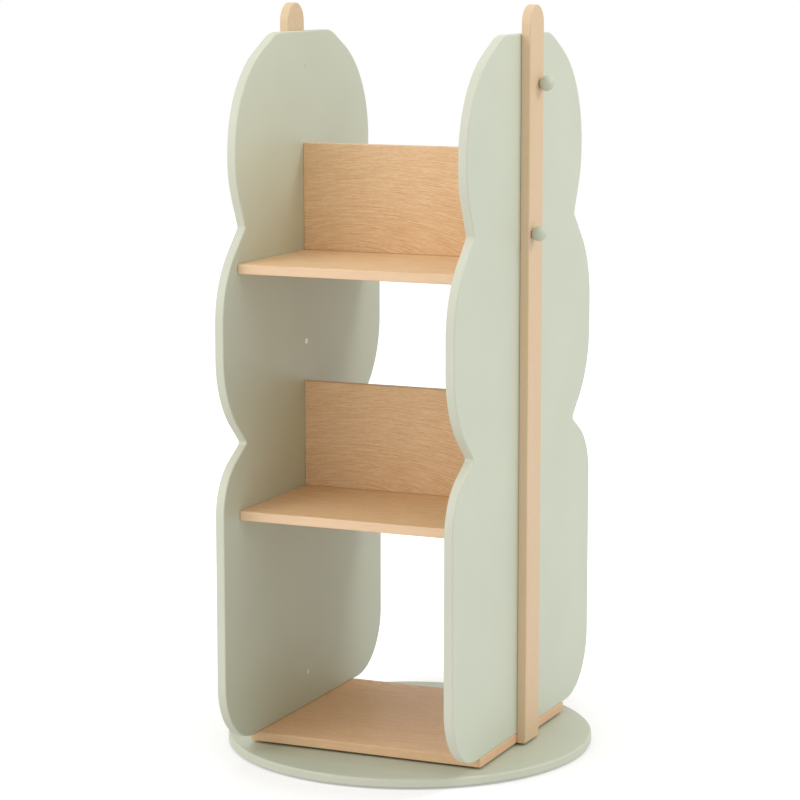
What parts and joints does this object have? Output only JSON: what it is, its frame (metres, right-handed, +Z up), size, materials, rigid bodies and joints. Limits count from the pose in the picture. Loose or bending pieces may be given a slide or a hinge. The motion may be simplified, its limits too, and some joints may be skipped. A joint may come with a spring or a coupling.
{
  "type": "revolving bookcase",
  "caption": "Child's open bookcase with lobed green side panels and beech shelves, turning freely on a round base.",
  "frame": {"origin": "middle of the base, on the floor, on the turning axis", "axes": "+Z up along the turning axis, side panels at -X and +X, open front towards -Y"},
  "size_m": [0.4979, 0.505, 1.0016],
  "materials": {
    "green_paint": "satin sage-green paint on board",
    "knob_paint": "satin sage-green paint on turned wood",
    "beech_board": "beech veneer, clear matt lacquer",
    "beech_post": "solid beech, clear matt lacquer",
    "dowel_wood": "fluted birch dowel, unfinished",
    "screw_steel": "bright zinc-plated steel",
    "cam_zinc": "die-cast zinc",
    "bearing_steel": "zinc-plated steel",
    "ball_steel": "polished bearing steel",
    "cage_nylon": "natural nylon",
    "pad_rubber": "black foamed rubber"
  },
  "bodies": {
    "base": {"floor_pads": "pad_rubber", "base_disc": "green_paint", "bearing_lower_ring": "bearing_steel", "lower_ring_screws": "screw_steel"},
    "cage": {"ball_cage": "cage_nylon", "bearing_balls": "ball_steel"},
    "case": {"bearing_upper_ring": "bearing_steel", "bottom_board": "beech_board", "knob_studs": "screw_steel", "left_lower_knob": "knob_paint", "left_post": "beech_post", "left_post_screws": "screw_steel", "left_side_panel": "green_paint", "left_upper_knob": "knob_paint", "lower_divider": "beech_board", "lower_divider_dowels": "dowel_wood", "lower_divider_screws": "screw_steel", "middle_shelf": "beech_board", "middle_shelf_cam_bolts": "screw_steel", "middle_shelf_cams": "cam_zinc", "middle_shelf_dowels": "dowel_wood", "panel_dowels": "dowel_wood", "panel_screws": "screw_steel", "right_lower_knob": "knob_paint", "right_post": "beech_post", "right_post_screws": "screw_steel", "right_side_panel": "green_paint", "right_upper_knob": "knob_paint", "upper_divider": "beech_board", "upper_divider_dowels": "dowel_wood", "upper_divider_screws": "screw_steel", "upper_ring_screws": "screw_steel", "upper_shelf": "beech_board", "upper_shelf_cam_bolts": "screw_steel", "upper_shelf_cams": "cam_zinc", "upper_shelf_dowels": "dowel_wood"}
  },
  "joints": [
    {"name": "case_spin", "type": "hinge", "parent": "base", "child": "case", "pos_m": [0, 0, 0], "axis": [0, 0, 1], "continuous": true},
    {"name": "cage_spin", "type": "hinge", "parent": "base", "child": "cage", "pos_m": [0, 0, 0], "axis": [0, 0, 1], "continuous": true}
  ],
  "couplings": [
    {"joint": "cage_spin", "follows": "case_spin", "ratio": 0.5}
  ]
}
